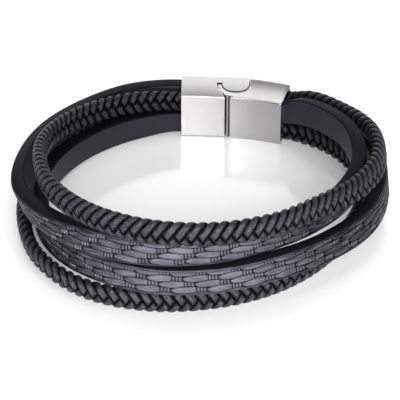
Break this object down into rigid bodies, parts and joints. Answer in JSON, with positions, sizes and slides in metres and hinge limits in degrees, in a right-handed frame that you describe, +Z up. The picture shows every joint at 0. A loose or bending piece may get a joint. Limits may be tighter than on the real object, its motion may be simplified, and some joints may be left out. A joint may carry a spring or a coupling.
{
  "type": "leather bracelet",
  "caption": "Leather bracelet of plaited cords and flat pressed straps, standing on its edge, held in a brushed steel clasp whose halves interlock.",
  "frame": {"origin": "middle of the outline seen from above, on the floor the bracelet stands on", "axes": "+Z up, along the wrist that goes through the loop; +Y to the back, where the clasp is; +X to the right, the loop's long way"},
  "size_m": [0.0758, 0.0726, 0.0208],
  "materials": {
    "steel": "brushed along the length, edges softly rounded",
    "plaited_leather": "near-black rounded thongs with a soft sheen",
    "strap_leather": "near-black, pressed pattern on the outer face, smooth sealed edges and inner face"
  },
  "bodies": {
    "root": {"clasp_tongue_half": "steel", "clasp_socket_half": "steel", "braid_upper": "plaited_leather", "strap_upper": "strap_leather", "strap_lower": "strap_leather", "braid_lower": "plaited_leather"}
  },
  "joints": []
}
